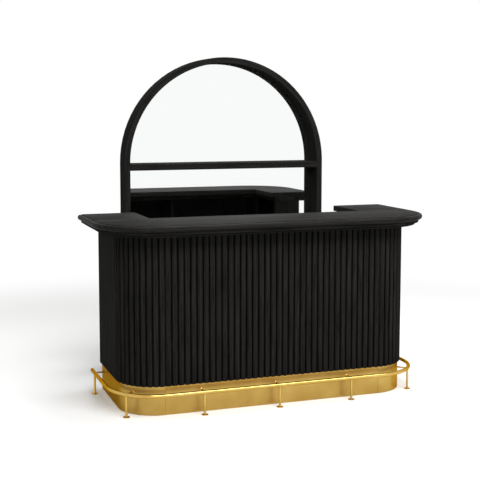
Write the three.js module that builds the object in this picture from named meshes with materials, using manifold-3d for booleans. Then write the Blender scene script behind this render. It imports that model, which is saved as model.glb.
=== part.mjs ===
// Bar counter with shelves: a U-shaped reeded counter with a brass kick plinth and foot rail,
// and an arched, mirrored back bar that stands behind it. Millimetres, +Z up, customers on the -Y side.
// In the plan values below, y = 0 is the plane that touches the crests of the front reeds.
import * as THREE from "three";
import { mergeVertices } from "three/addons/utils/BufferGeometryUtils.js";
import Module from "manifold-3d";

const wasm = await Module();
wasm.setup();

// Counter body
const BAR_HEIGHT = 1067;
const BODY_WIDTH = 1770;
const BODY_DEPTH = 670;
const CORNER_RADIUS = 230;
const FRONT_RUN_DEPTH = 281;
const WING_WIDTH = 197;
const FRONT_REEDS = 36;
const CORNER_REEDS = 10;
const REED_RISE = 14;
const REED_GROOVE = 2;
const PANEL_BACKING = 18;
const END_PANEL_THICKNESS = 25;
const BOARD = 18;
const SHELF_THICKNESS = 25;
const SHELF_HEIGHT = 560;
const SHELF_SETBACK = 20;

// Plinth
const PLINTH_HEIGHT = 163;
const PLINTH_SETBACK = 13;
const KICK_THICKNESS = 12;
const SEAM_GAP = 0.6;

// Counter top and the two-step moulding under it
const TOP_OVERHANG = 121;
const TOP_INNER_OVERHANG = 28;
const TOP_REAR_OVERHANG = 3;
const NOSING_HEIGHT = 31;
const NOSING_RADIUS = 14;
const FIELD_RISE = 3;
const FIELD_INSET = 24;
const UPPER_STEP_OVERHANG = 100;
const UPPER_STEP_HEIGHT = 18;
const LOWER_STEP_OVERHANG = 78;
const LOWER_STEP_HEIGHT = 14;

// Foot rail
const RAIL_DIAMETER = 22;
const RAIL_OFFSET = 54;
const RAIL_HEIGHT = 128;
const RAIL_END_SETBACK = 29;
const POST_DIAMETER = 13;
const FLANGE_DIAMETER = 38;
const FLANGE_THICKNESS = 4;
const PIN_DIAMETER = 9;
const ROSETTE_DIAMETER = 18;
const ROSETTE_THICKNESS = 3;
const FRONT_POST_PITCH = 448;
const CORNER_POST_DEGREES = 49;
const SIDE_POST_SETBACK = 105;

// Back bar
const BACK_BAR_WIDTH = 1390;
const BACK_BAR_SHIFT = 78;
const AISLE = 655;
const CABINET_DEPTH = 310;
const WORKTOP_HEIGHT = 890;
const WORKTOP_THICKNESS = 30;
const WORKTOP_OVERHANG = 12;
const TOE_HEIGHT = 80;
const TOE_SETBACK = 60;
const CABINET_SHELF_HEIGHT = 470;
const DOOR_THICKNESS = 20;
const DOOR_MARGIN = 2;
const DOOR_CLEARANCE = 0.8;
const KNOB_DIAMETER = 26;
const KNOB_STEM_DIAMETER = 10;
const KNOB_LENGTH = 24;
const KNOB_EDGE_DISTANCE = 40;
const KNOB_DROP = 180;
const ARCH_SPRING_HEIGHT = 1336;
const ARCH_THICKNESS = 38;
const ARCH_DEPTH = 118;
const ARCH_SHELF_HEIGHT = 1332;
const ARCH_SHELF_THICKNESS = 40;
const MIRROR_THICKNESS = 5;
const BACK_PANEL_THICKNESS = 18;

// Clearance between curved or cut neighbours, and how finely round shapes are drawn
const FIT_GAP = 0.3;
const COPE_GAP = 0.7;
const REED_STEPS = 3;
const ARC_STEPS = 10;
const NOSING_STEPS = 3;
const RAIL_SIDES = 12;
const RAIL_STEPS = 96;
const ROUND_SIDES = 20;

// Places worked out from the sizes
const HALF_WIDTH = BODY_WIDTH / 2;
const CORNER_X = HALF_WIDTH - CORNER_RADIUS;
const PANEL_BACK = REED_RISE + PANEL_BACKING;
const KICK_INSET = PLINTH_SETBACK + KICK_THICKNESS;
const WING_INNER = HALF_WIDTH - WING_WIDTH;
const WING_OUTER = HALF_WIDTH - Math.max(KICK_INSET, END_PANEL_THICKNESS) - FIT_GAP;
const WING_BACK_FRONT = BODY_DEPTH - BOARD;
const DECK_UNDERSIDE = PLINTH_HEIGHT - BOARD;
const NOSING_UNDERSIDE = BAR_HEIGHT - FIELD_RISE - NOSING_HEIGHT;
const BODY_TOP = NOSING_UNDERSIDE - UPPER_STEP_HEIGHT - LOWER_STEP_HEIGHT;
const TOP_REAR = BODY_DEPTH + TOP_REAR_OVERHANG;
const TOP_SPLIT = FRONT_RUN_DEPTH + TOP_INNER_OVERHANG;
const RAIL_RADIUS = RAIL_DIAMETER / 2;
const RAIL_END = BODY_DEPTH - RAIL_END_SETBACK;
const SIDE_POST_DEPTH = BODY_DEPTH - SIDE_POST_SETBACK;
const PIN_LENGTH = RAIL_OFFSET + PLINTH_SETBACK - FIT_GAP;
const HALF_BACK_BAR = BACK_BAR_WIDTH / 2;
const CABINET_FRONT = FRONT_RUN_DEPTH + AISLE;
const CABINET_REAR = CABINET_FRONT + CABINET_DEPTH;
const CARCASS_FRONT = CABINET_FRONT + DOOR_THICKNESS + DOOR_CLEARANCE;
const BACK_PANEL_FACE = CABINET_REAR - BACK_PANEL_THICKNESS;
const ARCH_FRONT = BACK_PANEL_FACE - ARCH_DEPTH;
const ARCH_INNER = HALF_BACK_BAR - ARCH_THICKNESS;
const WORKTOP_UNDERSIDE = WORKTOP_HEIGHT - WORKTOP_THICKNESS;
const CABINET_FLOOR = TOE_HEIGHT + BOARD;
const BAY_WIDTH = (BACK_BAR_WIDTH - 4 * BOARD) / 3;
const DIVIDER_X = BAY_WIDTH / 2;
const DEPTH_CENTRE = (CABINET_REAR - TOP_OVERHANG) / 2;
const FAR = 4 * BODY_WIDTH;
const QUARTER = Math.PI / 2;

const blackOak = new THREE.MeshStandardMaterial({ color: 0x1b1b1a, roughness: 0.42, metalness: 0 });
const satinBrass = new THREE.MeshStandardMaterial({ color: 0xbd9a4e, roughness: 0.28, metalness: 1 });
const silvered = new THREE.MeshStandardMaterial({ color: 0xf2f4f4, roughness: 0.02, metalness: 1 });

const bar = new THREE.Group();
const counter = new THREE.Group();
const backBar = new THREE.Group();
bar.add(counter, backBar);
counter.position.y = -DEPTH_CENTRE;
backBar.position.set(BACK_BAR_SHIFT, -DEPTH_CENTRE, 0);

// Solids, joins and cuts

function toSolid(geometry) {
  const bare = geometry.clone();
  bare.deleteAttribute("normal");
  bare.deleteAttribute("uv");
  const merged = mergeVertices(bare, 1e-4);
  const corners = merged.index.array;
  const kept = [];
  for (let i = 0; i < corners.length; i += 3) {
    const [a, b, c] = corners.slice(i, i + 3);
    if (a !== b && b !== c && c !== a) kept.push(a, b, c);
  }
  const mesh = new wasm.Mesh({
    numProp: 3,
    vertProperties: merged.attributes.position.array,
    triVerts: new Uint32Array(kept),
  });
  return new wasm.Manifold(mesh);
}

function toGeometry(solid) {
  const mesh = solid.getMesh();
  const geometry = new THREE.BufferGeometry();
  geometry.setAttribute("position", new THREE.BufferAttribute(new Float32Array(mesh.vertProperties), 3));
  geometry.setIndex(new THREE.BufferAttribute(new Uint32Array(mesh.triVerts), 1));
  geometry.computeVertexNormals();
  return geometry;
}

// A plan outline raised from one height to another.
function prism(plan, bottom, top, steps = ARC_STEPS) {
  const options = { depth: 1, bevelEnabled: false, curveSegments: steps };
  const geometry = new THREE.ExtrudeGeometry(plan, options);
  const position = geometry.getAttribute("position");
  for (let i = 0; i < position.count; i++) {
    position.setZ(i, position.getZ(i) < 0.5 ? bottom : top);
  }
  return geometry;
}

function rectangle(left, right, front, back) {
  const plan = new THREE.Shape();
  plan.moveTo(left, front);
  plan.lineTo(right, front);
  plan.lineTo(right, back);
  plan.lineTo(left, back);
  plan.closePath();
  return plan;
}

function place(group, name, geometry, finish) {
  const mesh = new THREE.Mesh(geometry, finish);
  mesh.name = name;
  group.add(mesh);
  return mesh;
}

// A right-hand piece and its mirror image on the left.
function placePair(group, name, geometry, finish) {
  place(group, name + "_right", geometry, finish);
  const left = place(group, name + "_left", geometry, finish);
  left.scale.x = -1;
}

function board(left, right, front, back, bottom, top) {
  return prism(rectangle(left, right, front, back), bottom, top);
}

// Counter footprint: straight sides and back, round front corners, offset outwards from the reed crests.
function footprint(offset, rear) {
  const half = HALF_WIDTH + offset;
  const radius = CORNER_RADIUS + offset;
  const plan = new THREE.Shape();
  plan.moveTo(half, rear);
  plan.lineTo(-half, rear);
  plan.absarc(-CORNER_X, CORNER_RADIUS, radius, 2 * QUARTER, 3 * QUARTER, false);
  plan.absarc(CORNER_X, CORNER_RADIUS, radius, 3 * QUARTER, 4 * QUARTER, false);
  plan.closePath();
  return plan;
}

function frontRunOf(solid, split) {
  return solid.intersect(toSolid(board(-FAR, FAR, -FAR, split, -FAR, FAR)));
}

function wingOf(solid, inner, split, rear) {
  return solid.intersect(toSolid(board(inner, FAR, split + FIT_GAP, rear, -FAR, FAR)));
}

// Reeded panels

// One half-round reed: an arc whose crest stands REED_RISE above its two feet.
function addReed(plan, crestX, crestY, facing, halfChord) {
  const radius = (halfChord ** 2 + REED_RISE ** 2) / (2 * REED_RISE);
  const halfAngle = Math.atan2(halfChord, radius - REED_RISE);
  const centreX = crestX - radius * Math.cos(facing);
  const centreY = crestY - radius * Math.sin(facing);
  plan.absarc(centreX, centreY, radius, facing - halfAngle, facing + halfAngle, false);
}

function reededFront() {
  const pitch = (2 * CORNER_X) / FRONT_REEDS;
  const plan = new THREE.Shape();
  plan.moveTo(CORNER_X, PANEL_BACK);
  plan.lineTo(-CORNER_X, PANEL_BACK);
  plan.lineTo(-CORNER_X, REED_RISE);
  for (let i = 0; i < FRONT_REEDS; i++) {
    const x = -CORNER_X + (i + 0.5) * pitch;
    addReed(plan, x, 0, 3 * QUARTER, (pitch - REED_GROOVE) / 2);
  }
  plan.lineTo(CORNER_X, REED_RISE);
  plan.closePath();
  return prism(plan, PLINTH_HEIGHT, BODY_TOP, REED_STEPS);
}

function reededCorner() {
  const step = QUARTER / CORNER_REEDS;
  const footRadius = CORNER_RADIUS - REED_RISE;
  const plan = new THREE.Shape();
  plan.moveTo(CORNER_X, PANEL_BACK);
  plan.lineTo(CORNER_X, REED_RISE);
  for (let i = 0; i < CORNER_REEDS; i++) {
    const facing = 3 * QUARTER + (i + 0.5) * step;
    const x = CORNER_X + CORNER_RADIUS * Math.cos(facing);
    const y = CORNER_RADIUS + CORNER_RADIUS * Math.sin(facing);
    addReed(plan, x, y, facing, footRadius * Math.tan(step / 2) - REED_GROOVE / 2);
  }
  plan.lineTo(CORNER_X + footRadius, CORNER_RADIUS);
  plan.absarc(CORNER_X, CORNER_RADIUS, CORNER_RADIUS - PANEL_BACK, 4 * QUARTER, 3 * QUARTER, true);
  plan.closePath();
  return prism(plan, PLINTH_HEIGHT, BODY_TOP, REED_STEPS);
}

place(counter, "reeded_front_panel", reededFront(), blackOak);
placePair(counter, "reeded_corner", reededCorner(), blackOak);

// Brass kick plates: a straight one, and one round each corner and along the side

function kickCorner() {
  const plan = new THREE.Shape();
  const outer = CORNER_RADIUS - PLINTH_SETBACK;
  const inner = CORNER_RADIUS - KICK_INSET;
  plan.moveTo(CORNER_X, PLINTH_SETBACK);
  plan.absarc(CORNER_X, CORNER_RADIUS, outer, 3 * QUARTER, 4 * QUARTER, false);
  plan.lineTo(HALF_WIDTH - PLINTH_SETBACK, BODY_DEPTH);
  plan.lineTo(HALF_WIDTH - KICK_INSET, BODY_DEPTH);
  plan.absarc(CORNER_X, CORNER_RADIUS, inner, 4 * QUARTER, 3 * QUARTER, true);
  plan.closePath();
  return prism(plan, 0, PLINTH_HEIGHT);
}

const seam = CORNER_X - SEAM_GAP;
const kickFront = board(-seam, seam, PLINTH_SETBACK, KICK_INSET, 0, PLINTH_HEIGHT);
place(counter, "kick_plate_front", kickFront, satinBrass);
placePair(counter, "kick_plate", kickCorner(), satinBrass);

// Carcass: decks on an inner kick board, uprights on the decks, open shelves facing the bartender

const deckInset = KICK_INSET + FIT_GAP;
const wholeDeck = toSolid(prism(footprint(-deckInset, BODY_DEPTH), DECK_UNDERSIDE, PLINTH_HEIGHT));
const deckWing = wingOf(wholeDeck, WING_INNER, FRONT_RUN_DEPTH, WING_BACK_FRONT);
place(counter, "deck_front", toGeometry(frontRunOf(wholeDeck, FRONT_RUN_DEPTH)), blackOak);
placePair(counter, "deck_wing", toGeometry(deckWing), blackOak);

const innerKickEnd = HALF_WIDTH - deckInset;
const innerKickFront = FRONT_RUN_DEPTH - BOARD;
const innerKick = board(-innerKickEnd, innerKickEnd, innerKickFront, FRONT_RUN_DEPTH, 0, DECK_UNDERSIDE);
place(counter, "inner_kick_board", innerKick, blackOak);

const endPanelInner = HALF_WIDTH - END_PANEL_THICKNESS;
const endPanel = board(endPanelInner, HALF_WIDTH, CORNER_RADIUS, BODY_DEPTH, PLINTH_HEIGHT, BODY_TOP);
placePair(counter, "end_panel", endPanel, blackOak);
const wingBack = board(WING_INNER, WING_OUTER, WING_BACK_FRONT, BODY_DEPTH, 0, BODY_TOP);
placePair(counter, "wing_back", wingBack, blackOak);

// The partitions stop short of the round back of the corner panels.
const partitionOuter = WING_INNER + BOARD;
const cornerBack = (CORNER_RADIUS - PANEL_BACK) * Math.cos(QUARTER / (4 * REED_STEPS));
const intoCorner = Math.max(0, partitionOuter - CORNER_X);
const uprightFront = CORNER_RADIUS - Math.sqrt(cornerBack ** 2 - intoCorner ** 2) + FIT_GAP;
const partition = board(
  WING_INNER, partitionOuter, uprightFront, FRONT_RUN_DEPTH, PLINTH_HEIGHT, BODY_TOP,
);
placePair(counter, "partition", partition, blackOak);
const divider = board(-BOARD / 2, BOARD / 2, PANEL_BACK, FRONT_RUN_DEPTH, PLINTH_HEIGHT, BODY_TOP);
place(counter, "centre_divider", divider, blackOak);

const shelfUnderside = SHELF_HEIGHT - SHELF_THICKNESS;
const frontShelfBack = FRONT_RUN_DEPTH - SHELF_SETBACK;
const frontShelf = board(
  BOARD / 2, WING_INNER, uprightFront, frontShelfBack, shelfUnderside, SHELF_HEIGHT,
);
placePair(counter, "front_shelf", frontShelf, blackOak);
const wingShelf = board(
  WING_INNER, endPanelInner, FRONT_RUN_DEPTH, WING_BACK_FRONT, shelfUnderside, SHELF_HEIGHT,
);
placePair(counter, "wing_shelf", wingShelf, blackOak);

// Moulding boards that carry the top, stepped on their outer edges

const mouldingSplit = BODY_TOP + LOWER_STEP_HEIGHT;
const upperPlan = footprint(UPPER_STEP_OVERHANG, TOP_REAR);
const lowerPlan = footprint(LOWER_STEP_OVERHANG, TOP_REAR);
const upperStep = toSolid(prism(upperPlan, mouldingSplit, NOSING_UNDERSIDE));
const lowerStep = toSolid(prism(lowerPlan, BODY_TOP, NOSING_UNDERSIDE));
const wholeMoulding = upperStep.add(lowerStep);
const mouldingWing = wingOf(wholeMoulding, WING_INNER, FRONT_RUN_DEPTH, TOP_REAR);
place(counter, "moulding_front", toGeometry(frontRunOf(wholeMoulding, FRONT_RUN_DEPTH)), blackOak);
placePair(counter, "moulding_wing", toGeometry(mouldingWing), blackOak);

// Counter top: a field raised a little above a round nosing that runs along the customers' sides

function wholeTop() {
  const options = {
    depth: NOSING_HEIGHT - 2 * NOSING_RADIUS,
    bevelSize: NOSING_RADIUS,
    bevelThickness: NOSING_RADIUS,
    bevelSegments: NOSING_STEPS,
    curveSegments: ARC_STEPS,
  };
  const beyond = TOP_REAR + 2 * NOSING_RADIUS;
  const nosing = new THREE.ExtrudeGeometry(footprint(TOP_OVERHANG - NOSING_RADIUS, beyond), options);
  nosing.translate(0, 0, NOSING_UNDERSIDE + NOSING_RADIUS);
  const field = prism(footprint(TOP_OVERHANG - FIELD_INSET, beyond), NOSING_UNDERSIDE, BAR_HEIGHT);
  return toSolid(nosing).add(toSolid(field));
}

const counterTop = wholeTop();
const topWing = wingOf(counterTop, WING_INNER - TOP_INNER_OVERHANG, TOP_SPLIT, TOP_REAR);
place(counter, "top_front", toGeometry(frontRunOf(counterTop, TOP_SPLIT)), blackOak);
placePair(counter, "top_wing", toGeometry(topWing), blackOak);

// Foot rail: one bent tube, with a flanged post and a stand-off pin at each station

class LevelCurve extends THREE.Curve {
  constructor(path, height) {
    super();
    this.path = path;
    this.height = height;
  }
  getPoint(t, target = new THREE.Vector3()) {
    const { x, y } = this.path.getPoint(t);
    return target.set(x, y, this.height);
  }
}

function footRail() {
  const half = HALF_WIDTH + RAIL_OFFSET;
  const radius = CORNER_RADIUS + RAIL_OFFSET;
  const route = new THREE.Path();
  route.moveTo(-half, RAIL_END);
  route.lineTo(-half, CORNER_RADIUS);
  route.absarc(-CORNER_X, CORNER_RADIUS, radius, 2 * QUARTER, 3 * QUARTER, false);
  route.absarc(CORNER_X, CORNER_RADIUS, radius, 3 * QUARTER, 4 * QUARTER, false);
  route.lineTo(half, RAIL_END);
  const section = new THREE.Shape();
  section.absarc(0, 0, RAIL_RADIUS, 0, 4 * QUARTER, false);
  return new THREE.ExtrudeGeometry(section, {
    steps: RAIL_STEPS,
    curveSegments: RAIL_SIDES / 2,
    extrudePath: new LevelCurve(route, RAIL_HEIGHT),
  });
}

// A post and a pin are turned about their own axes, then coped to fit the tube that they meet.
// Here +X points from the plinth to the customers, and the tube runs along Y.
function copedToRail(geometry) {
  const reach = 2 * RAIL_DIAMETER;
  const radius = RAIL_RADIUS + COPE_GAP;
  const cutter = new THREE.CylinderGeometry(radius, radius, reach, ROUND_SIDES);
  cutter.translate(0, 0, RAIL_HEIGHT);
  return toGeometry(toSolid(geometry).subtract(toSolid(cutter)));
}

function turned(profile) {
  const points = profile.map(([radius, along]) => new THREE.Vector2(radius, along));
  return new THREE.LatheGeometry(points, ROUND_SIDES);
}

function railPost() {
  const radius = POST_DIAMETER / 2;
  const post = turned([
    [0, 0],
    [FLANGE_DIAMETER / 2, 0],
    [FLANGE_DIAMETER / 2, FLANGE_THICKNESS / 2],
    [radius, FLANGE_THICKNESS],
    [radius, RAIL_HEIGHT],
    [0, RAIL_HEIGHT],
  ]);
  post.rotateX(QUARTER);
  return copedToRail(post);
}

function railPin() {
  const radius = PIN_DIAMETER / 2;
  const pin = turned([
    [0, 0],
    [ROSETTE_DIAMETER / 2, 0],
    [ROSETTE_DIAMETER / 2, ROSETTE_THICKNESS / 2],
    [radius, ROSETTE_THICKNESS],
    [radius, PIN_LENGTH],
    [0, PIN_LENGTH],
  ]);
  pin.rotateZ(-QUARTER);
  pin.translate(-PIN_LENGTH, 0, RAIL_HEIGHT);
  return copedToRail(pin);
}

function railStations() {
  const bend = CORNER_RADIUS + RAIL_OFFSET;
  const turn = THREE.MathUtils.degToRad(CORNER_POST_DEGREES);
  const stations = [];
  for (const side of [-1, 1]) {
    const facing = side < 0 ? 2 * QUARTER : 0;
    stations.push([side * (HALF_WIDTH + RAIL_OFFSET), SIDE_POST_DEPTH, facing]);
    const cornerX = CORNER_X + bend * Math.sin(turn);
    stations.push([side * cornerX, CORNER_RADIUS - bend * Math.cos(turn), side * turn - QUARTER]);
  }
  for (const along of [-1, 0, 1]) {
    stations.push([along * FRONT_POST_PITCH, -RAIL_OFFSET, -QUARTER]);
  }
  return stations.sort((a, b) => a[0] - b[0]);
}

place(counter, "foot_rail", footRail(), satinBrass);
const postShape = railPost();
const pinShape = railPin();
railStations().forEach(([x, y, facing], index) => {
  for (const [name, shape] of [["rail_post_", postShape], ["rail_pin_", pinShape]]) {
    const piece = place(counter, name + (index + 1), shape, satinBrass);
    piece.position.set(x, y, 0);
    piece.rotation.z = facing;
  }
});

// Back bar cabinet: an open bay between two cupboards

const cabinetSide = board(
  HALF_BACK_BAR - BOARD, HALF_BACK_BAR, CARCASS_FRONT, BACK_PANEL_FACE, 0, WORKTOP_UNDERSIDE,
);
placePair(backBar, "cabinet_side", cabinetSide, blackOak);
const insideHalf = HALF_BACK_BAR - BOARD;
const cabinetFloor = board(
  -insideHalf, insideHalf, CARCASS_FRONT, BACK_PANEL_FACE, TOE_HEIGHT, CABINET_FLOOR,
);
place(backBar, "cabinet_floor", cabinetFloor, blackOak);
const toeFront = CABINET_FRONT + TOE_SETBACK;
const toeBoard = board(-insideHalf, insideHalf, toeFront, toeFront + BOARD, 0, TOE_HEIGHT);
place(backBar, "toe_board", toeBoard, blackOak);
const cabinetDivider = board(
  DIVIDER_X, DIVIDER_X + BOARD, CARCASS_FRONT, BACK_PANEL_FACE, CABINET_FLOOR, WORKTOP_UNDERSIDE,
);
placePair(backBar, "cabinet_divider", cabinetDivider, blackOak);
const cabinetShelf = board(
  -DIVIDER_X, DIVIDER_X, CARCASS_FRONT + SHELF_SETBACK, BACK_PANEL_FACE,
  CABINET_SHELF_HEIGHT - BOARD, CABINET_SHELF_HEIGHT,
);
place(backBar, "cabinet_shelf", cabinetShelf, blackOak);
const worktop = board(
  -HALF_BACK_BAR, HALF_BACK_BAR, CABINET_FRONT - WORKTOP_OVERHANG, BACK_PANEL_FACE,
  WORKTOP_UNDERSIDE, WORKTOP_HEIGHT,
);
place(backBar, "worktop", worktop, blackOak);

// Cupboard doors hang on the dividers, so that they open into the aisle, clear of the counter's wings.
const doorHinge = DIVIDER_X + DOOR_MARGIN;
const doorEdge = HALF_BACK_BAR - DOOR_MARGIN;
const doorTop = WORKTOP_UNDERSIDE - DOOR_MARGIN;
const doorBack = CABINET_FRONT + DOOR_THICKNESS;
const door = board(doorHinge, doorEdge, CABINET_FRONT, doorBack, TOE_HEIGHT, doorTop);
placePair(backBar, "door", door, blackOak);

function knob() {
  const stem = KNOB_STEM_DIAMETER / 2;
  const head = KNOB_DIAMETER / 2;
  const shape = turned([
    [0, 0],
    [stem, 0],
    [stem, KNOB_LENGTH / 2],
    [head, (KNOB_LENGTH * 2) / 3],
    [head, KNOB_LENGTH - stem / 2],
    [head - stem / 2, KNOB_LENGTH],
    [0, KNOB_LENGTH],
  ]);
  shape.rotateX(2 * QUARTER);
  return shape;
}

const knobShape = knob();
for (const [name, side] of [["knob_left", -1], ["knob_right", 1]]) {
  const piece = place(backBar, name, knobShape, satinBrass);
  piece.position.set(side * (doorEdge - KNOB_EDGE_DISTANCE), CABINET_FRONT, doorTop - KNOB_DROP);
}

// Arch: two legs on the worktop, a half-round crown, a shelf, a mirror and one tall back panel

function archPlan(half, bottom) {
  const plan = new THREE.Shape();
  plan.moveTo(-half, bottom);
  plan.lineTo(half, bottom);
  plan.absarc(0, ARCH_SPRING_HEIGHT, half, 0, 2 * QUARTER, false);
  plan.closePath();
  return plan;
}

function crownPlan() {
  const plan = new THREE.Shape();
  plan.absarc(0, ARCH_SPRING_HEIGHT, HALF_BACK_BAR, 0, 2 * QUARTER, false);
  plan.absarc(0, ARCH_SPRING_HEIGHT, ARCH_INNER, 2 * QUARTER, 0, true);
  plan.closePath();
  return plan;
}

// An elevation drawn in x and height, given its thickness between two depths.
function upright(elevation, front, back) {
  const geometry = prism(elevation, -back, -front, 2 * ARC_STEPS);
  geometry.rotateX(QUARTER);
  return geometry;
}

const leg = board(
  ARCH_INNER, HALF_BACK_BAR, ARCH_FRONT, BACK_PANEL_FACE, WORKTOP_HEIGHT, ARCH_SPRING_HEIGHT,
);
placePair(backBar, "arch_leg", leg, blackOak);
place(backBar, "arch_crown", upright(crownPlan(), ARCH_FRONT, BACK_PANEL_FACE), blackOak);
const mirrorFace = BACK_PANEL_FACE - MIRROR_THICKNESS;
const mirrorPlan = archPlan(ARCH_INNER - FIT_GAP, WORKTOP_HEIGHT + FIT_GAP);
place(backBar, "mirror", upright(mirrorPlan, mirrorFace, BACK_PANEL_FACE), silvered);
// The shelf is cut to the inside of the arch, so it fits at any height, also above the spring line.
const insideArch = upright(archPlan(ARCH_INNER, 0), ARCH_FRONT, mirrorFace - FIT_GAP);
const shelfLevel = board(
  -FAR, FAR, -FAR, FAR, ARCH_SHELF_HEIGHT - ARCH_SHELF_THICKNESS, ARCH_SHELF_HEIGHT,
);
const archShelf = toGeometry(toSolid(insideArch).intersect(toSolid(shelfLevel)));
place(backBar, "arch_shelf", archShelf, blackOak);
const backPlan = archPlan(HALF_BACK_BAR, 0);
place(backBar, "back_panel", upright(backPlan, BACK_PANEL_FACE, CABINET_REAR), blackOak);

export default bar;
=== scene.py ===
# %% [markdown]
# # A reeded bar counter with a brass foot rail, and the arched back bar behind it
# The joiner's work is done before this lesson starts: every board, panel and tube stands at its real
# size in the frame. Here each piece gets the surface that the eye expects: round reeds, soft mouldings,
# brushed brass, black-stained oak and silvered glass.

# %% Load the frame
import math

import bmesh
import bpy
from mathutils import Matrix, Vector


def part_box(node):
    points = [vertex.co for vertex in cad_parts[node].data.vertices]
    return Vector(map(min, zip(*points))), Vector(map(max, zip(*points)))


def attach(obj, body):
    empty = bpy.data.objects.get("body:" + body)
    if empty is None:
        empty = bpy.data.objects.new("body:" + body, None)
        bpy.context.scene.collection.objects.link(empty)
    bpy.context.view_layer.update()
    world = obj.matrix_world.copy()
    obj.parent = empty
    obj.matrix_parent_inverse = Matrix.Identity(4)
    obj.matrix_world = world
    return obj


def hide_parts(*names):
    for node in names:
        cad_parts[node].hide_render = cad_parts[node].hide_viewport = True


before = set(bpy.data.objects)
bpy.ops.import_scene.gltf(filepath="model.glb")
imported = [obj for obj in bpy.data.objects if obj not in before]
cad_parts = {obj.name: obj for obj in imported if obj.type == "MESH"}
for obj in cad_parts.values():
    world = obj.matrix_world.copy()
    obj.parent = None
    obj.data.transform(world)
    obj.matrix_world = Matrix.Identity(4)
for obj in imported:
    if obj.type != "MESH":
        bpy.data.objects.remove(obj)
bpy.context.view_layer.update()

MM = 0.001
QUARTER_TURN = math.pi / 2
STILL = (0.0, 0.0, 0.0)
UP = (0.0, 0.0, 1.0)
SIDES = ((-1, "left"), (1, "right"))

# %% [markdown]
# ## Read the joiner's sizes
# A piece that is redrawn here has to land exactly on the one it stands for. So the main places are not
# typed again: the corner centres, the reed crests and the body's height are measured on the frame's
# own pieces. A step, a rounding or a turned profile has no box of its own, so its sizes are written
# below.

# %% Sizes measured on the frame
front_low, front_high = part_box("reeded_front_panel")
_, end_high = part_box("end_panel_right")
corner_x = front_high.x
crest_y, panel_back = front_low.y, front_high.y
half_width, body_rear = end_high.x, end_high.y
corner_y = crest_y + half_width - corner_x
body_bottom, body_top = front_low.z, front_high.z
body_height = body_top - body_bottom
print("flat front", 2 * corner_x, "corner radius", half_width - corner_x)

# %% [markdown]
# ## Camera
# The camera was solved from the photograph: a long lens at eye level, well to the left of the counter.
# The lens and the shift come from the focal length and the principal point in pixels.

# %% Camera
FRAME_PX = 480
FOCAL_PX = 1008.84
PRINCIPAL_Y_PX = 211.23
SENSOR_MM = 36.0
CAMERA_X, CAMERA_BEFORE_CRESTS, CAMERA_HEIGHT = -2.0927, 5.2616, 1.6745
CAMERA_YAW, CAMERA_PITCH = math.radians(-19.568), math.radians(-5.65)

lens = bpy.data.cameras.new("camera")
lens.sensor_width = SENSOR_MM
lens.lens = FOCAL_PX / FRAME_PX * SENSOR_MM
lens.shift_y = (PRINCIPAL_Y_PX - FRAME_PX / 2) / FRAME_PX
camera = bpy.data.objects.new("camera", lens)
camera.location = (CAMERA_X, crest_y - CAMERA_BEFORE_CRESTS, CAMERA_HEIGHT)
camera.rotation_euler = (QUARTER_TURN + CAMERA_PITCH, 0, CAMERA_YAW)
bpy.context.scene.collection.objects.link(camera)
bpy.context.scene.camera = camera
print("lens", round(lens.lens, 1), "mm")

# %% [markdown]
# ## Helpers for materials
# Colours are written as the hex values that a colour picker shows, and one function turns them to the
# linear light that the renderer works in. Another adds a shader node with its settings and links.

# %% Material helpers
def linear(hex_colour):
    channels = [int(hex_colour[i : i + 2], 16) / 255 for i in (1, 3, 5)]
    bent = [c / 12.92 if c <= 0.04045 else ((c + 0.055) / 1.055) ** 2.4 for c in channels]
    return (*bent, 1.0)


def add_node(tree, kind, inputs=None, **settings):
    node = tree.nodes.new(kind)
    for name, value in settings.items():
        setattr(node, name, value)
    for socket, value in (inputs or {}).items():
        if isinstance(value, bpy.types.NodeSocket):
            tree.links.new(value, node.inputs[socket])
        else:
            node.inputs[socket].default_value = value
    return node


def new_material(name):
    material = bpy.data.materials.new(name)
    material.use_nodes = True
    tree = material.node_tree
    return material, tree, tree.nodes["Principled BSDF"]


def set_ramp(node, low, high, low_at, high_at):
    stops = node.color_ramp.elements
    stops[0].position, stops[1].position = low_at, high_at
    stops[0].color, stops[1].color = linear(low), linear(high)


print("white is", linear("#ffffff"))

# %% [markdown]
# ## Grain that follows a bend
# A straight board's grain runs along one axis. The arch is a bent lamination, so its grain turns with
# it. This helper gives each point of the arch the place it had in the flat, unbent strip: how far along
# the strip, and how far out from the arch's centre. Below the spring of the arch the strip runs
# straight down.

# %% Bent grain
def bent_round(tree, place, centre, radius):
    sums = "ShaderNodeMath"
    from_centre = add_node(tree, "ShaderNodeVectorMath", {0: place, 1: centre}, operation="SUBTRACT")
    x, y, z = add_node(tree, "ShaderNodeSeparateXYZ", {0: from_centre.outputs["Vector"]}).outputs
    above = add_node(tree, sums, {0: z, 1: 0.0}, operation="MAXIMUM").outputs["Value"]
    below = add_node(tree, sums, {0: z, 1: 0.0}, operation="MINIMUM").outputs["Value"]
    angle = add_node(tree, sums, {0: x, 1: above}, operation="ARCTAN2").outputs["Value"]
    bend = add_node(tree, sums, {0: angle, 1: radius}, operation="MULTIPLY").outputs["Value"]
    side = add_node(tree, sums, {0: x}, operation="SIGN").outputs["Value"]
    leg = add_node(tree, sums, {0: side, 1: below}, operation="MULTIPLY").outputs["Value"]
    along = add_node(tree, sums, {0: bend, 1: leg}, operation="SUBTRACT").outputs["Value"]
    rise = add_node(tree, sums, {0: above, 1: above}, operation="MULTIPLY").outputs["Value"]
    reach = add_node(tree, sums, {0: x, 1: x, 2: rise}, operation="MULTIPLY_ADD").outputs["Value"]
    across = add_node(tree, sums, {0: reach}, operation="SQRT").outputs["Value"]
    flat = add_node(tree, "ShaderNodeCombineXYZ", {"X": across, "Y": y, "Z": along})
    return flat.outputs["Vector"]


print("bent grain ready")

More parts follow.
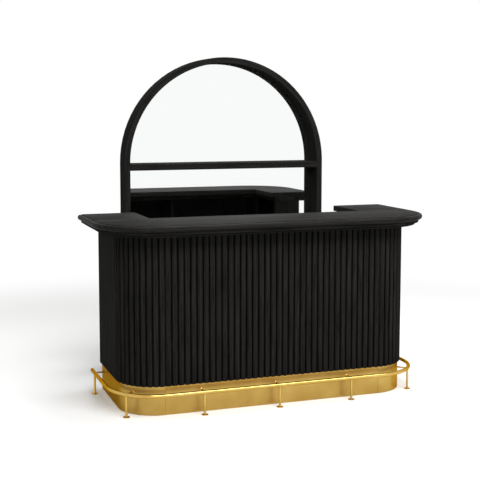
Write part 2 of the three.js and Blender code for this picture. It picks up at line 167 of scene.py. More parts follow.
# %% [markdown]
# ## Black-stained oak
# The boards are oak veneer, stained black and sealed. The stain hides the colour of the wood but not
# its grain: broad figure bands stay a shade apart, and the open pores stay matt and a hair lower. The
# pores are really about 0.3 mm wide, and are drawn several times wider so that they show in the render.
# An ambient occlusion node paints shade into the stain colour: it darkens wood that lies close to other
# wood of the same piece, in grooves and inner corners. One function makes the finish for each grain
# direction and each polish:
# boards are nearly matt, the top is rubbed smoother, and its nosing smoother still, by hands and
# sleeves.

# %% Black oak
BLACK_STAIN, WORN_STAIN = "#111110", "#252423"
STAIN_FROM, STAIN_TO = 0.35, 0.68
FIGURE_WIDTH, FIGURE_DETAIL = 16 * MM, 3
PORE_WIDTH, PORE_DETAIL = 2.2 * MM, 2
PORE_SHARE = 0.4
PORE_FROM, PORE_TO = 0.35, 0.65
PORE_DEPTH, PORE_BITE = 0.25 * MM, 0.5
GRAIN_STRETCH, GRAIN_WANDER = 18, 0.4
PAINTED_SHADE_REACH, PAINTED_SHADE_SAMPLES = 16 * MM, 8
SEALED_GLOSS = 0.015
SEALED = {"matt": 1.0, "satin": 0.85}


def grain_noises(tree, place, grain):
    noises = []
    for width, detail in ((FIGURE_WIDTH, FIGURE_DETAIL), (PORE_WIDTH, PORE_DETAIL)):
        scale = [1 / width / (GRAIN_STRETCH if axis == grain else 1) for axis in "XYZ"]
        along = add_node(tree, "ShaderNodeMapping", {"Vector": place, "Scale": scale})
        settings = {"Scale": 1.0, "Detail": detail, "Distortion": GRAIN_WANDER}
        settings["Vector"] = along.outputs["Vector"]
        noises.append(add_node(tree, "ShaderNodeTexNoise", settings).outputs["Fac"])
    return noises


def black_oak(name, grain, matt, satin, gloss=SEALED_GLOSS, bend=None):
    material, tree, shader = new_material(name)
    place = add_node(tree, "ShaderNodeTexCoord").outputs["Object"]
    if bend:
        place = bent_round(tree, place, *bend)
    figure, pores = grain_noises(tree, place, grain)
    tone = add_node(tree, "ShaderNodeMix", {"Factor": PORE_SHARE, "A": figure, "B": pores})
    ramp = add_node(tree, "ShaderNodeValToRGB", {"Fac": tone.outputs["Result"]})
    set_ramp(ramp, BLACK_STAIN, WORN_STAIN, STAIN_FROM, STAIN_TO)
    # Painted shade: the ambient occlusion node darkens the stain colour in grooves and inner corners.
    painted_shade_settings = {"Color": ramp.outputs["Color"], "Distance": PAINTED_SHADE_REACH}
    painted_shade = add_node(
        tree, "ShaderNodeAmbientOcclusion", painted_shade_settings, only_local=True, samples=PAINTED_SHADE_SAMPLES
    )
    shine = {"Value": pores, "From Min": PORE_FROM, "From Max": PORE_TO, "To Min": matt, "To Max": satin}
    sheen = add_node(tree, "ShaderNodeMapRange", shine)
    bite = {"Height": pores, "Strength": PORE_BITE, "Distance": PORE_DEPTH}
    bump = add_node(tree, "ShaderNodeBump", bite)
    tree.links.new(painted_shade.outputs["Color"], shader.inputs["Base Color"])
    tree.links.new(sheen.outputs["Result"], shader.inputs["Roughness"])
    tree.links.new(bump.outputs["Normal"], shader.inputs["Normal"])
    shader.inputs["Specular IOR Level"].default_value = gloss
    return material


oak = {grain: black_oak("black_oak_grain_" + grain.lower(), grain, **SEALED) for grain in "XYZ"}
top_oak = black_oak("black_oak_lacquered_top", "X", matt=0.7, satin=0.54)
nosing_oak = black_oak("black_oak_polished_nosing", "X", matt=0.55, satin=0.42, gloss=0.02)
print("oak finishes", [m.name for m in (*oak.values(), top_oak, nosing_oak)])

# %% [markdown]
# ## Brass
# The kick plates are sheet brass, brushed level with the floor and lacquered: fine level scratches
# spread the reflections up and down. They are drawn a few times wider than the real ones, so that they
# show. The rail, posts and pins are drawn tube and turned bar, polished brighter. Brass stays golden at
# a glancing angle, and the edge tint keeps it so. Both are the same alloy, so one function makes both.

# %% Brass
BRUSH_LENGTH, BRUSH_WIDTH, BRUSH_DETAIL = 220 * MM, 1.6 * MM, 3
BRUSH_FROM, BRUSH_TO, BRUSH_BITE = 0.3, 0.7, 0.4
CLOUD_SIZE, CLOUD_DETAIL = 140 * MM, 2
CLOUD_FROM, CLOUD_TO = 0.3, 0.7
EDGE_TINT = "#c9a257"


def brass(name, dull, bright, smooth, rough, scratch_depth):
    material, tree, shader = new_material(name)
    place = add_node(tree, "ShaderNodeTexCoord").outputs["Object"]
    scale = (1 / BRUSH_LENGTH, 1 / BRUSH_LENGTH, 1 / BRUSH_WIDTH)
    level = add_node(tree, "ShaderNodeMapping", {"Vector": place, "Scale": scale}).outputs["Vector"]
    brushing = {"Vector": level, "Scale": 1.0, "Detail": BRUSH_DETAIL}
    brushed = add_node(tree, "ShaderNodeTexNoise", brushing).outputs["Fac"]
    clouding = {"Vector": place, "Scale": 1 / CLOUD_SIZE, "Detail": CLOUD_DETAIL}
    cloud = add_node(tree, "ShaderNodeTexNoise", clouding)
    ramp = add_node(tree, "ShaderNodeValToRGB", {"Fac": cloud.outputs["Fac"]})
    set_ramp(ramp, dull, bright, CLOUD_FROM, CLOUD_TO)
    streaking = {"Value": brushed, "From Min": BRUSH_FROM, "From Max": BRUSH_TO}
    streaks = add_node(tree, "ShaderNodeMapRange", {**streaking, "To Min": smooth, "To Max": rough})
    scratches = {"Height": brushed, "Strength": BRUSH_BITE, "Distance": scratch_depth}
    bump = add_node(tree, "ShaderNodeBump", scratches)
    tree.links.new(ramp.outputs["Color"], shader.inputs["Base Color"])
    tree.links.new(streaks.outputs["Result"], shader.inputs["Roughness"])
    tree.links.new(bump.outputs["Normal"], shader.inputs["Normal"])
    shader.inputs["Metallic"].default_value = 1.0
    shader.inputs["Specular Tint"].default_value = linear(EDGE_TINT)
    return material


sheet_brass = brass(
    "brushed_sheet_brass", "#ab8b46", "#ba9c57", smooth=0.28, rough=0.42, scratch_depth=0.05 * MM
)
tube_brass = brass(
    "polished_tube_brass", "#bf9b4f", "#cfae64", smooth=0.16, rough=0.24, scratch_depth=0.01 * MM
)
print("brass", sheet_brass.name, tube_brass.name)

# %% [markdown]
# ## Silvered mirror
# A mirror is a thin silver film behind clear glass, so it reflects almost everything without colour. A
# faint haze, as cleaning leaves it, keeps it from looking like a hole in the back bar.

# %% Mirror finish
SILVER = "#f8faf9"
HAZE_SIZE, HAZE_DETAIL = 90 * MM, 3
HAZE_FROM, HAZE_TO = 0.4, 0.8
CLEAN_ROUGHNESS, HAZY_ROUGHNESS = 0.004, 0.03

silver, tree, shader = new_material("silvered_mirror")
place = add_node(tree, "ShaderNodeTexCoord").outputs["Object"]
smears = {"Vector": place, "Scale": 1 / HAZE_SIZE, "Detail": HAZE_DETAIL}
haze = add_node(tree, "ShaderNodeTexNoise", smears).outputs["Fac"]
wiping = {"Value": haze, "From Min": HAZE_FROM, "From Max": HAZE_TO}
wiped = add_node(
    tree, "ShaderNodeMapRange", {**wiping, "To Min": CLEAN_ROUGHNESS, "To Max": HAZY_ROUGHNESS}
)
tree.links.new(wiped.outputs["Result"], shader.inputs["Roughness"])
shader.inputs["Base Color"].default_value = linear(SILVER)
shader.inputs["Metallic"].default_value = 1.0
print("mirror", silver.name)

# %% [markdown]
# ## Carry a section along a route
# Nearly everything on this counter is one section carried along a route: up a leg and round an arch, or
# along a side, round a corner and across the front. bmesh's spin does both, because a spin with no
# angle and a shift is a straight run. So one sweep function makes the rail, the mouldings, the kick
# plates and the arch.

# %% Routes and sections
CORNER_STEPS = 32
SOFT_STEPS = 3
ROUND_PROFILE = 0.5


def sweep(bm, geom, moves):
    for centre, axis, angle, shift in moves:
        steps = 1 if angle == 0 else round(CORNER_STEPS * abs(angle) / QUARTER_TURN)
        spun = bmesh.ops.spin(
            bm, geom=geom, cent=centre, axis=axis, dvec=shift, angle=angle, steps=steps
        )
        geom = spun["geom_last"]


def straight(x, y, z):
    return (STILL, UP, 0.0, (x, y, z))


def turn(centre_x):
    return ((centre_x, corner_y, 0), UP, QUARTER_TURN, STILL)


def round_the_counter(end_y):
    return [
        straight(0, corner_y - end_y, 0),
        turn(-corner_x),
        straight(2 * corner_x, 0, 0),
        turn(corner_x),
        straight(0, end_y - corner_y, 0),
    ]


def section_ring(bm, corners, soft_corners=(), softness=0.0, rounds=SOFT_STEPS):
    verts = [bm.verts.new(corner) for corner in corners]
    face = bm.faces.new(verts)
    if soft_corners:
        soft = [verts[i] for i in soft_corners]
        bmesh.ops.bevel(
            bm, geom=soft, offset=softness, affect="VERTICES", segments=rounds,
            profile=ROUND_PROFILE, material=-1,
        )
        face = next(iter(bm.faces))
    ring = list(face.verts) + list(face.edges)
    bmesh.ops.delete(bm, geom=[face], context="FACES_ONLY")
    return ring


def cap_ends(bm):
    open_edges = [e for e in bm.edges if e.is_boundary]
    return bmesh.ops.holes_fill(bm, edges=open_edges)["faces"]


print("route round the counter", len(round_the_counter(body_rear)), "moves")

# %% [markdown]
# ## Draw out, ease and finish
# A filled outline is drawn out to a thickness, and its edges are eased with a bevel, as a sanding block
# eases them. Every new piece then goes through one function: it merges doubled points, turns the faces
# outwards, smooths the shading except at sharp edges, and says which body the piece rides on and which
# of the frame's pieces it stands for.

# %% Draw out, ease and finish
EASE_STEPS = 2
MERGE_DISTANCE = 0.01 * MM
SHARP_ANGLE = math.radians(32)


def draw_out(bm, faces, shift):
    drawn = bmesh.ops.extrude_face_region(bm, geom=faces, use_keep_orig=True)["geom"]
    moved = [g for g in drawn if isinstance(g, bmesh.types.BMVert)]
    bmesh.ops.translate(bm, verts=moved, vec=shift)


def soften(bm, edges, width, segments=EASE_STEPS):
    bmesh.ops.bevel(
        bm, geom=edges, offset=width, affect="EDGES", segments=segments,
        profile=ROUND_PROFILE, material=-1,
    )


def soften_faces(bm, faces, width, segments=EASE_STEPS):
    soften(bm, [e for f in faces for e in f.edges], width, segments)


def mirror_across(bm):
    bmesh.ops.scale(bm, verts=bm.verts, vec=(-1, 1, 1))


def new_piece(name, bm, material, replaces=(), body="bar"):
    bmesh.ops.remove_doubles(bm, verts=bm.verts, dist=MERGE_DISTANCE)
    bmesh.ops.recalc_face_normals(bm, faces=bm.faces)
    mesh = bpy.data.meshes.new(name)
    bm.to_mesh(mesh)
    bm.free()
    mesh.polygons.foreach_set("use_smooth", [True] * len(mesh.polygons))
    mesh.set_sharp_from_angle(angle=SHARP_ANGLE)
    mesh.materials.append(material)
    piece = bpy.data.objects.new(name, mesh)
    bpy.context.scene.collection.objects.link(piece)
    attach(piece, body)
    if replaces:
        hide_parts(*replaces)
    print(name, len(mesh.polygons), "faces")
    return piece


print("edges over", round(math.degrees(SHARP_ANGLE)), "degrees stay sharp")

# %% [markdown]
# ## Reeds
# A reed is a slim rounded stick, glued upright beside its neighbours on a thin backing board. Its
# outline is a half circle drawn out a little squarer, as a superellipse is, so that it has a flatter
# crest and a steep groove. One reed is that outline, filled and drawn up. It is copied along the flat
# front, and swung about the corner's centre for the round ends. Its foot is eased, because it shows
# over the brass.

# %% One reed
FRONT_REEDS = 36
CORNER_REEDS = 10
REED_GROOVE = 4.6 * MM
REED_RISE = 14 * MM
REED_STEPS = 18
REED_SQUARENESS = 0.72
REED_EASE = 1.2 * MM
reed_foot_y = crest_y + REED_RISE


def add_reed(bm, half_chord):
    before = set(bm.verts)
    outline = []
    for i in range(REED_STEPS + 1):
        angle = math.pi * i / REED_STEPS
        across = math.copysign(abs(math.cos(angle)) ** REED_SQUARENESS, -math.cos(angle))
        out = math.sin(angle) ** REED_SQUARENESS
        place = (half_chord * across, crest_y + REED_RISE * (1 - out), body_bottom)
        outline.append(bm.verts.new(place))
    base = bmesh.ops.contextual_create(bm, geom=outline)["faces"]
    draw_out(bm, base, (0, 0, body_height))
    soften_faces(bm, base, REED_EASE)
    return [v for v in bm.verts if v not in before]


print("reed rise", REED_RISE, "groove", REED_GROOVE)

# %% Reeded front
bm = bmesh.new()
pitch = 2 * corner_x / FRONT_REEDS
for i in range(FRONT_REEDS):
    reed = add_reed(bm, (pitch - REED_GROOVE) / 2)
    bmesh.ops.translate(bm, verts=reed, vec=((i + 0.5) * pitch - corner_x, 0, 0))
backing = bmesh.ops.create_cube(bm, size=1)["verts"]
thickness = panel_back - reed_foot_y
bmesh.ops.scale(bm, verts=backing, vec=(2 * corner_x, thickness, body_height))
middle = (0, panel_back - thickness / 2, (body_top + body_bottom) / 2)
bmesh.ops.translate(bm, verts=backing, vec=middle)
new_piece("reeded_front", bm, oak["Z"], ["reeded_front_panel"])

# %% Reeded corners
step = QUARTER_TURN / CORNER_REEDS
half_chord = (corner_y - reed_foot_y) * math.tan(step / 2) - REED_GROOVE / 2

for side, name in SIDES:
    bm = bmesh.new()
    centre = Vector((side * corner_x, corner_y, 0))
    for i in range(CORNER_REEDS):
        reed = add_reed(bm, half_chord)
        bmesh.ops.translate(bm, verts=reed, vec=(centre.x, 0, 0))
        swing = Matrix.Rotation(side * (i + 0.5) * step, 3, "Z")
        bmesh.ops.rotate(bm, verts=reed, cent=centre, matrix=swing)
    corners = [(centre.x, y, z) for y, z in (
        (reed_foot_y, body_bottom), (panel_back, body_bottom),
        (panel_back, body_top), (reed_foot_y, body_top))]
    ring = section_ring(bm, corners)
    sweep(bm, ring, [(centre, UP, side * QUARTER_TURN, STILL)])
    cap_ends(bm)
    new_piece("reeded_" + name, bm, oak["Z"], ["reeded_corner_" + name])

# %% [markdown]
# ## Kick plates
# The plinth is clad in three brass plates that meet in thin upright seams. Each end plate is folded
# round its corner, so it is one thin section swept along the side and through a quarter turn. The edges
# at the seams are eased, so that each seam shows as a fine dark line. The right plate is the left one
# mirrored.

# %% Kick plates round the corners
_, kick_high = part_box("kick_plate_right")
plate_front, plate_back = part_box("kick_plate_front")
plate_thickness = plate_back.y - plate_front.y
PLATE_EASE = 1.6 * MM

for side, name in SIDES:
    bm = bmesh.new()
    outer, inner = -kick_high.x, -kick_high.x + plate_thickness
    corners = [(outer, body_rear, 0), (inner, body_rear, 0),
               (inner, body_rear, kick_high.z), (outer, body_rear, kick_high.z)]
    ring = section_ring(bm, corners, (0, 3), PLATE_EASE)
    sweep(bm, ring, [straight(0, corner_y - body_rear, 0), turn(-corner_x)])
    uprights = [e for f in cap_ends(bm) for e in f.edges if e.calc_length() > kick_high.z / 2]
    soften(bm, uprights, PLATE_EASE)
    if side > 0:
        mirror_across(bm)
    new_piece("kick_cladding_" + name, bm, sheet_brass, ["kick_plate_" + name])

# %% [markdown]
# ## Foot rail
# The rail is one brass tube, bent cold to follow the counter. A circle is carried along the side, round
# the corner, across the front and back along the other side. The closed ends are eased, as a plugged
# tube is.

# %% Foot rail
rail_low, rail_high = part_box("foot_rail")
rail_radius = (rail_high.z - rail_low.z) / 2
rail_axis_z = (rail_high.z + rail_low.z) / 2
rail_axis_x = rail_low.x + rail_radius
rail_end = rail_high.y
RAIL_SIDES = 28
RAIL_END_EASE = 2.5 * MM
RAIL_END_STEPS = 3

bm = bmesh.new()
circle = bmesh.ops.create_circle(bm, cap_ends=False, segments=RAIL_SIDES, radius=rail_radius)["verts"]
bmesh.ops.rotate(bm, verts=circle, cent=STILL, matrix=Matrix.Rotation(QUARTER_TURN, 3, "X"))
bmesh.ops.translate(bm, verts=circle, vec=(rail_axis_x, rail_end, rail_axis_z))
sweep(bm, list(bm.verts) + list(bm.edges), round_the_counter(rail_end))
soften_faces(bm, cap_ends(bm), RAIL_END_EASE, RAIL_END_STEPS)
new_piece("rail_tube", bm, tube_brass, ["foot_rail"])

# %% [markdown]
# ## Posts and stand-off pins
# Each station has a turned post with a flange on the floor, and a turned pin with a small rosette
# against the plinth. A turned piece is a half section spun about its axis. Both run a little way into
# the tube, where the real ones are coped and brazed.

# %% Half sections for the lathe
LATHE_STEPS = 40
POST_RADIUS = 6.5 * MM
FLANGE_RADIUS = 19 * MM
FLANGE_EDGE = 2.2 * MM
FLANGE_CROWN = 4.5 * MM
FILLET = 3 * MM
PIN_RADIUS = 4.5 * MM
ROSETTE_RADIUS = 9 * MM
ROSETTE_EDGE = 1.6 * MM
ROSETTE_CROWN = 3.2 * MM
CHAMFER = 1 * MM
pin_reach = plate_front.y - rail_low.y - rail_radius

POST_SECTION = [
    (0, 0), (FLANGE_RADIUS, 0), (FLANGE_RADIUS, FLANGE_EDGE),
    (FLANGE_RADIUS - CHAMFER, FLANGE_EDGE + CHAMFER), (POST_RADIUS + FILLET, FLANGE_CROWN),
    (POST_RADIUS + FILLET / 3, FLANGE_CROWN + FILLET / 3), (POST_RADIUS, FLANGE_CROWN + FILLET),
    (POST_RADIUS, rail_axis_z), (0, rail_axis_z),
]
PIN_SECTION = [
    (0, pin_reach), (ROSETTE_RADIUS, pin_reach), (ROSETTE_RADIUS, pin_reach - ROSETTE_EDGE),
    (ROSETTE_RADIUS - CHAMFER, pin_reach - ROSETTE_EDGE - CHAMFER / 2),
    (PIN_RADIUS + CHAMFER, pin_reach - ROSETTE_CROWN),
    (PIN_RADIUS, pin_reach - ROSETTE_CROWN - CHAMFER), (PIN_RADIUS, 0), (0, 0),
]


def lathe(bm, half_section):
    verts = [bm.verts.new((r, 0, z)) for r, z in half_section]
    line = [bm.edges.new(pair) for pair in zip(verts, verts[1:])]
    bmesh.ops.spin(
        bm, geom=verts + line, cent=STILL, axis=UP, angle=2 * math.pi, steps=LATHE_STEPS, use_merge=True
    )


print("post", rail_axis_z, "pin", pin_reach)

# %% Posts and pins
STATIONS = 7

for i in range(1, STATIONS + 1):
    post_low, post_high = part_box(f"rail_post_{i}")
    foot = (post_low + post_high) / 2
    pin_low, pin_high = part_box(f"rail_pin_{i}")
    towards_plinth = (pin_low + pin_high) / 2 - foot
    towards_plinth.z = 0
    towards_plinth.normalize()

    bm = bmesh.new()
    lathe(bm, POST_SECTION)
    bmesh.ops.translate(bm, verts=bm.verts, vec=(foot.x, foot.y, 0))
    new_piece(f"turned_post_{i}", bm, tube_brass, [f"rail_post_{i}"])

    bm = bmesh.new()
    lathe(bm, PIN_SECTION)
    lay_down = Vector(UP).rotation_difference(towards_plinth).to_matrix()
    bmesh.ops.rotate(bm, verts=bm.verts, cent=STILL, matrix=lay_down)
    bmesh.ops.translate(bm, verts=bm.verts, vec=(foot.x, foot.y, rail_axis_z))
    new_piece(f"turned_pin_{i}", bm, tube_brass, [f"rail_pin_{i}"])

# %% [markdown]
# ## Counter top
# The top is three boards: one across the front, and one on each wing, butted together. Each has a flat
# field that stands a little proud of a round nosing, so a fine shadow line runs all round. The nosing
# is a swept section with its own finish. The field's outline is a single vertex swept along the same
# route, closed across the back and drawn down.

# %% Nosing and board
top_low, top_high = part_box("top_front")
wing_low, wing_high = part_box("top_wing_right")
top_edge, top_split = top_high.x, top_high.y
FIELD_INSET = 24 * MM
FIELD_EASE = 1.2 * MM
NOSING_HEIGHT = 31 * MM
NOSING_TUCK = 40 * MM
NOSING_ROUND = 0.46 * NOSING_HEIGHT
NOSING_STEPS = 8
NOSING_FINISH = 1


def add_nosing(bm, start_y, moves):
    bottom, top = top_low.z, top_low.z + NOSING_HEIGHT
    outer, inner = -top_edge, -top_edge + NOSING_TUCK
    corners = [(outer, start_y, bottom), (inner, start_y, bottom),
               (inner, start_y, top), (outer, start_y, top)]
    sweep(bm, section_ring(bm, corners, (0, 3), NOSING_ROUND, NOSING_STEPS), moves)
    cap_ends(bm)
    for face in bm.faces:
        face.material_index = NOSING_FINISH


def add_board(bm, outline, thickness, ease):
    face = bmesh.ops.contextual_create(bm, geom=outline)["faces"]
    draw_out(bm, face, (0, 0, -thickness))
    soften_faces(bm, face, ease)


def swept_outline(bm, x, y, z):
    before = set(bm.verts)
    start = bm.verts.new((x, y, z))
    sweep(bm, [start], round_the_counter(y))
    return [v for v in bm.verts if v not in before]


def wing_outline(bm, outer, inner, near, far, z):
    return [bm.verts.new((x, y, z)) for x, y in ((outer, near), (inner, near), (inner, far), (outer, far))]


print("top", top_high.z, "field", FIELD_INSET, "from the edge")

# %% Counter top
bm = bmesh.new()
add_nosing(bm, top_split, round_the_counter(top_split))
outline = swept_outline(bm, FIELD_INSET - top_edge, top_split, top_high.z)
add_board(bm, outline, top_high.z - top_low.z, FIELD_EASE)
board = new_piece("top_board_front", bm, top_oak, ["top_front"])
board.data.materials.append(nosing_oak)

for side, name in SIDES:
    bm = bmesh.new()
    add_nosing(bm, wing_high.y, [straight(0, wing_low.y - wing_high.y, 0)])
    outline = wing_outline(bm, FIELD_INSET - wing_high.x, -wing_low.x, wing_low.y, wing_high.y, wing_high.z)
    add_board(bm, outline, wing_high.z - wing_low.z, FIELD_EASE)
    if side > 0:
        mirror_across(bm)
    board = new_piece("top_board_" + name, bm, top_oak, ["top_wing_" + name])
    board.data.materials.append(nosing_oak)

# %% [markdown]
# ## Mouldings under the top
# Two steps of moulding carry the overhang of the top back to the reeds. Their lower arrises are rounded
# over, as a router leaves them, so they catch a soft line of light. The flat core board behind them
# laps into the moulding and lies a hair shy of its faces, so that no two faces fall in one plane.

# %% Moulding sections
mould_low, mould_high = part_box("moulding_front")
mould_wing_low, mould_wing_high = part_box("moulding_wing_right")
UPPER_STEP_HEIGHT = 18 * MM
LOWER_STEP_SETBACK = 22 * MM
STEP_ROUND = 5 * MM
STEP_ROUND_STEPS = 4
MOULDING_TUCK = 130 * MM
CORE_LAP = 6 * MM
CORE_SHY = 0.2 * MM
core_edge = -mould_high.x + MOULDING_TUCK - CORE_LAP
core_top = mould_high.z - CORE_SHY
core_thickness = mould_high.z - mould_low.z - 2 * CORE_SHY


def add_moulding(bm, y, moves):
    outer = -mould_high.x
    inner, lower = outer + MOULDING_TUCK, outer + LOWER_STEP_SETBACK
    low, split, high = mould_low.z, mould_high.z - UPPER_STEP_HEIGHT, mould_high.z
    corners = [(outer, y, high), (outer, y, split), (lower, y, split), (lower, y, low),
               (inner, y, low), (inner, y, high)]
    sweep(bm, section_ring(bm, corners, (1, 3), STEP_ROUND, STEP_ROUND_STEPS), moves)
    cap_ends(bm)


print("moulding", mould_low.z, "to", mould_high.z)

# %% Mouldings
bm = bmesh.new()
add_moulding(bm, mould_high.y, round_the_counter(mould_high.y))
add_board(bm, swept_outline(bm, core_edge, mould_high.y, core_top), core_thickness, CORE_SHY)
new_piece("moulding_board_front", bm, oak["X"], ["moulding_front"])

for side, name in SIDES:
    bm = bmesh.new()
    near, far = mould_wing_low.y, mould_wing_high.y
    add_moulding(bm, far, [straight(0, near - far, 0)])
    outline = wing_outline(bm, core_edge, -mould_wing_low.x, near, far, core_top)
    add_board(bm, outline, core_thickness, CORE_SHY)
    if side > 0:
        mirror_across(bm)
    new_piece("moulding_board_" + name, bm, oak["Y"], ["moulding_wing_" + name])

# %% [markdown]
# ## Arch
# The frame of the back bar is one bent lamination: up the left leg, round the half circle and down the
# right leg. So it is one section swept along that route, and it stands for the two legs and the crown
# together. Its oak has the grain that follows the bend.

# %% Arch frame
leg_low, leg_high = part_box("arch_leg_left")
crown_low, crown_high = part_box("arch_crown")
arch_x = (crown_low.x + crown_high.x) / 2
spring = leg_high.z
half_turn = ((arch_x, 0, spring), (0, 1, 0), math.pi, STILL)
ARCH_EASE = 2.0 * MM


def over_the_arch(foot_z):
    return [straight(0, 0, spring - foot_z), half_turn, straight(0, 0, foot_z - spring)]


bend = ((arch_x, 0, spring), (crown_high.x - crown_low.x) / 2)
bent_oak = black_oak("black_oak_bent_arch", "Z", **SEALED, bend=bend)
bm = bmesh.new()
corners = [(leg_low.x, leg_low.y, leg_low.z), (leg_high.x, leg_low.y, leg_low.z),
           (leg_high.x, leg_high.y, leg_low.z), (leg_low.x, leg_high.y, leg_low.z)]
ring = section_ring(bm, corners, (0, 1), ARCH_EASE)
sweep(bm, ring, over_the_arch(leg_low.z))
cap_ends(bm)
new_piece("arch_frame", bm, bent_oak, ["arch_leg_left", "arch_leg_right", "arch_crown"])

# %% [markdown]
# ## Mirror
# The glass fills the arch behind the shelf. A vertex swept along the arch draws its outline, the
# outline is filled and drawn back, and the front edge gets the fine polished bevel of cut glass.

# %% Mirror
glass_low, glass_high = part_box("mirror")
GLASS_BEVEL = 1.5 * MM

bm = bmesh.new()
start = bm.verts.new((glass_low.x, glass_low.y, glass_low.z))
sweep(bm, [start], over_the_arch(glass_low.z))
face = bmesh.ops.contextual_create(bm, geom=list(bm.verts))["faces"]
draw_out(bm, face, (0, glass_high.y - glass_low.y, 0))
soften_faces(bm, face, GLASS_BEVEL, segments=1)
new_piece("mirror_glass", bm, silver, ["mirror"])

# %% [markdown]
# ## Knobs
# Each cupboard door has a small turned brass knob: a slim neck and a flattened ball. Its half section
# is given in shares of the ball's or the neck's radius and of the knob's length. It is spun upright,
# then laid over to point into the aisle.

# %% Knobs
NECK_RADIUS = 5 * MM
BALL_RADIUS = 13 * MM
KNOB_PROFILE = (
    (0, 0), (NECK_RADIUS * 1.5, 0), (NECK_RADIUS * 1.5, 0.06), (NECK_RADIUS, 0.14),
    (NECK_RADIUS, 0.4), (BALL_RADIUS * 0.75, 0.52), (BALL_RADIUS, 0.7),
    (BALL_RADIUS * 0.93, 0.86), (BALL_RADIUS * 0.65, 0.97), (0, 1),
)

for _, name in SIDES:
    knob_low, knob_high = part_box("knob_" + name)
    length = knob_high.y - knob_low.y
    bm = bmesh.new()
    lathe(bm, [(radius, share * length) for radius, share in KNOB_PROFILE])
    lay_over = Matrix.Rotation(QUARTER_TURN, 3, "X")
    bmesh.ops.rotate(bm, verts=bm.verts, cent=STILL, matrix=lay_over)
    seat = ((knob_low.x + knob_high.x) / 2, knob_high.y, (knob_low.z + knob_high.z) / 2)
    bmesh.ops.translate(bm, verts=bm.verts, vec=seat)
    new_piece("turned_knob_" + name, bm, tube_brass, ["knob_" + name], name + "_door")

# %% [markdown]
# ## Flat boards
# The carcass boards, shelves, doors and the front kick plate already have their true shape in the
# frame. They keep it, and get what a sanding block gives: eased edges, from a Weld and a Bevel
# modifier, and the grain that runs along each board.

# %% Flat boards
BOARD_EASE = 1.5 * MM
LEVEL_BOARDS = (
    "deck_front", "inner_kick_board", "front_shelf_left", "front_shelf_right",
    "cabinet_floor", "toe_board", "cabinet_shelf", "worktop", "arch_shelf",
)
DEEP_BOARDS = ("deck_wing_left", "deck_wing_right", "wing_shelf_left", "wing_shelf_right")


def ease_board(node, material, width):
    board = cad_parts[node]
    board.data.materials.clear()
    board.data.materials.append(material)
    weld = board.modifiers.new("weld", "WELD")
    weld.merge_threshold = MERGE_DISTANCE
    ease = board.modifiers.new("ease", "BEVEL")
    ease.width = width
    ease.segments = EASE_STEPS
    ease.limit_method = "ANGLE"


shown = [name for name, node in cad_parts.items() if not node.hide_render]
for name in shown:
    if name.startswith("kick_plate"):
        ease_board(name, sheet_brass, PLATE_EASE)
    elif name in LEVEL_BOARDS:
        ease_board(name, oak["X"], BOARD_EASE)
    elif name in DEEP_BOARDS:
        ease_board(name, oak["Y"], BOARD_EASE)
    else:
        ease_board(name, oak["Z"], BOARD_EASE)
print("eased boards", shown)

# %% [markdown]
# ## Studio floor
# The counter stands on a pale paper floor. The floor keeps the soft shadow near the counter and fades
# to plain white away from it, for the camera and for reflections only.

# %% Floor
FLOOR_SIZE = 40.0
FADE_NEAR, FADE_FAR = 2.2, 4.5
PAPER, PAPER_ROUGHNESS, PAPER_GLOSS = "#f6f6f5", 0.9, 0.1
WHITE = linear("#ffffff")

bm = bmesh.new()
bmesh.ops.create_grid(bm, x_segments=1, y_segments=1, size=FLOOR_SIZE / 2)
floor_mesh = bpy.data.meshes.new("floor")
bm.to_mesh(floor_mesh)
bm.free()
floor = bpy.data.objects.new("floor", floor_mesh)
bpy.context.scene.collection.objects.link(floor)

paper, tree, shader = new_material("pale_paper_floor")
shader.inputs["Base Color"].default_value = linear(PAPER)
shader.inputs["Roughness"].default_value = PAPER_ROUGHNESS
shader.inputs["Specular IOR Level"].default_value = PAPER_GLOSS
white = add_node(tree, "ShaderNodeEmission", {"Color": WHITE, "Strength": 1.0})
place = add_node(tree, "ShaderNodeTexCoord").outputs["Object"]
distance = add_node(tree, "ShaderNodeVectorMath", {0: place}, operation="LENGTH").outputs["Value"]
fading = {"Value": distance, "From Min": FADE_NEAR, "From Max": FADE_FAR}
fade = add_node(tree, "ShaderNodeMapRange", fading, interpolation_type="SMOOTHSTEP").outputs["Result"]
ray = add_node(tree, "ShaderNodeLightPath").outputs
looks = {0: ray["Is Camera Ray"], 1: ray["Is Glossy Ray"]}
seen = add_node(tree, "ShaderNodeMath", looks, operation="MAXIMUM").outputs["Value"]
faded = add_node(tree, "ShaderNodeMath", {0: fade, 1: seen}, operation="MULTIPLY").outputs["Value"]
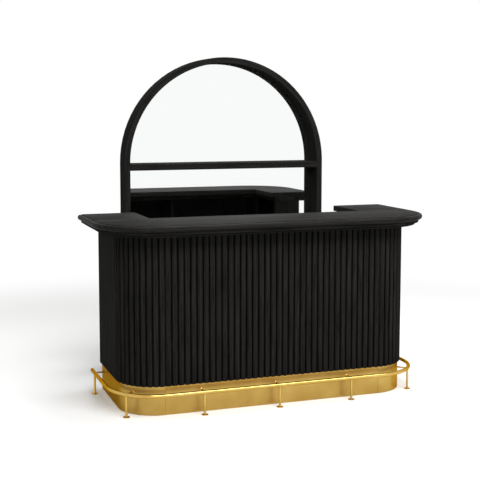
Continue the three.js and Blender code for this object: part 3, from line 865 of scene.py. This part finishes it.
layers = {0: faded, 1: shader.outputs["BSDF"], 2: white.outputs["Emission"]}
mixed = add_node(tree, "ShaderNodeMixShader", layers)
tree.links.new(mixed.outputs["Shader"], tree.nodes["Material Output"].inputs["Surface"])
floor_mesh.materials.append(paper)
print("floor", FLOOR_SIZE, "m")

# %% [markdown]
# ## Room and lamps
# The white of the room is for the camera, the metal and the mirror. The light on the wood comes from a
# softer room light and two large lamps: a wide one above the front, which draws the long highlight on
# the foot rail, and a square one over the counter, a little to the right, which lays the soft shadow on
# the floor.

# %% Room and lamps
ROOM_LIGHT = 0.48

world = bpy.data.worlds.new("white_studio")
world.use_nodes = True
bpy.context.scene.world = world
tree = world.node_tree
backdrop = tree.nodes["Background"]
backdrop.inputs["Color"].default_value = WHITE
ray = add_node(tree, "ShaderNodeLightPath").outputs
looks = {0: ray["Is Camera Ray"], 1: ray["Is Glossy Ray"]}
direct = add_node(tree, "ShaderNodeMath", looks, operation="MAXIMUM").outputs["Value"]
looks = {0: direct, 1: ray["Is Transmission Ray"]}
clear = add_node(tree, "ShaderNodeMath", looks, operation="MAXIMUM").outputs["Value"]
levels = {"Value": clear, "To Min": ROOM_LIGHT, "To Max": 1.0}
strength = add_node(tree, "ShaderNodeMapRange", levels)
tree.links.new(strength.outputs["Result"], backdrop.inputs["Strength"])


def softbox(name, place, target, size, watts):
    lamp = bpy.data.lights.new(name, "AREA")
    lamp.shape = "RECTANGLE"
    lamp.size, lamp.size_y = size
    lamp.energy = watts
    box = bpy.data.objects.new(name, lamp)
    box.location = place
    aim = Vector(target) - Vector(place)
    box.rotation_euler = aim.to_track_quat("-Z", "Y").to_euler()
    bpy.context.scene.collection.objects.link(box)


softbox("key_softbox", place=(0.5, -3.6, 4.2), target=(0, -0.2, 0.8), size=(5.4, 1.6), watts=300)
softbox("top_softbox", place=(0.7, 0.3, 3.9), target=(0, 0, 0.2), size=(2.6, 2.4), watts=110)
bpy.context.scene.view_settings.view_transform = "Standard"
print("room light", ROOM_LIGHT)
